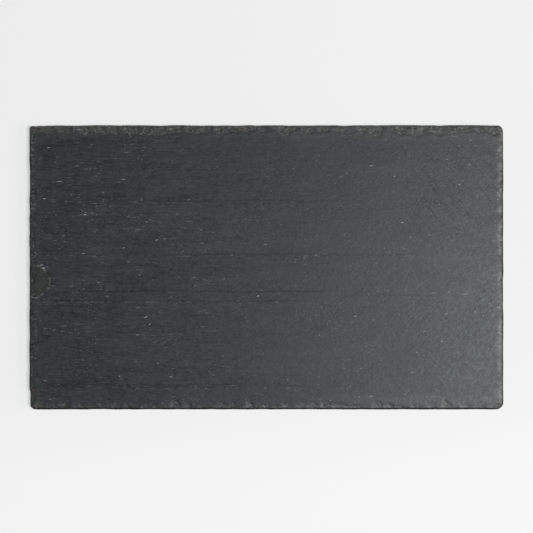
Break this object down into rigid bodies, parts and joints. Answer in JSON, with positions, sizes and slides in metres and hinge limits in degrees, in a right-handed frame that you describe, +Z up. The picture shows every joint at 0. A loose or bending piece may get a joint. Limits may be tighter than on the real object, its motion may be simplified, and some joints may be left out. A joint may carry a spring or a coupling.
{
  "type": "slate serving board",
  "caption": "Rectangular serving board split from natural slate, with spalled hand-cut edges all round and round stick-on rubber feet under its corners.",
  "frame": {"origin": "on the table under the centre of the board, at the height of the feet's treads", "axes": "+X along the board's length to the right, +Y to the rear, which is the top of the board seen from above, +Z up out of the serving face"},
  "size_m": [0.4, 0.24, 0.0084],
  "materials": {
    "slate": "natural cleft face, matt with a soft sheen",
    "foot_rubber": "moulded, satin",
    "adhesive": "acrylic transfer adhesive"
  },
  "bodies": {
    "root": {"slate_slab": "slate", "foot_front_left": "foot_rubber", "foot_front_right": "foot_rubber", "foot_rear_left": "foot_rubber", "foot_rear_right": "foot_rubber", "adhesive_front_left": "adhesive", "adhesive_front_right": "adhesive", "adhesive_rear_left": "adhesive", "adhesive_rear_right": "adhesive"}
  },
  "joints": []
}
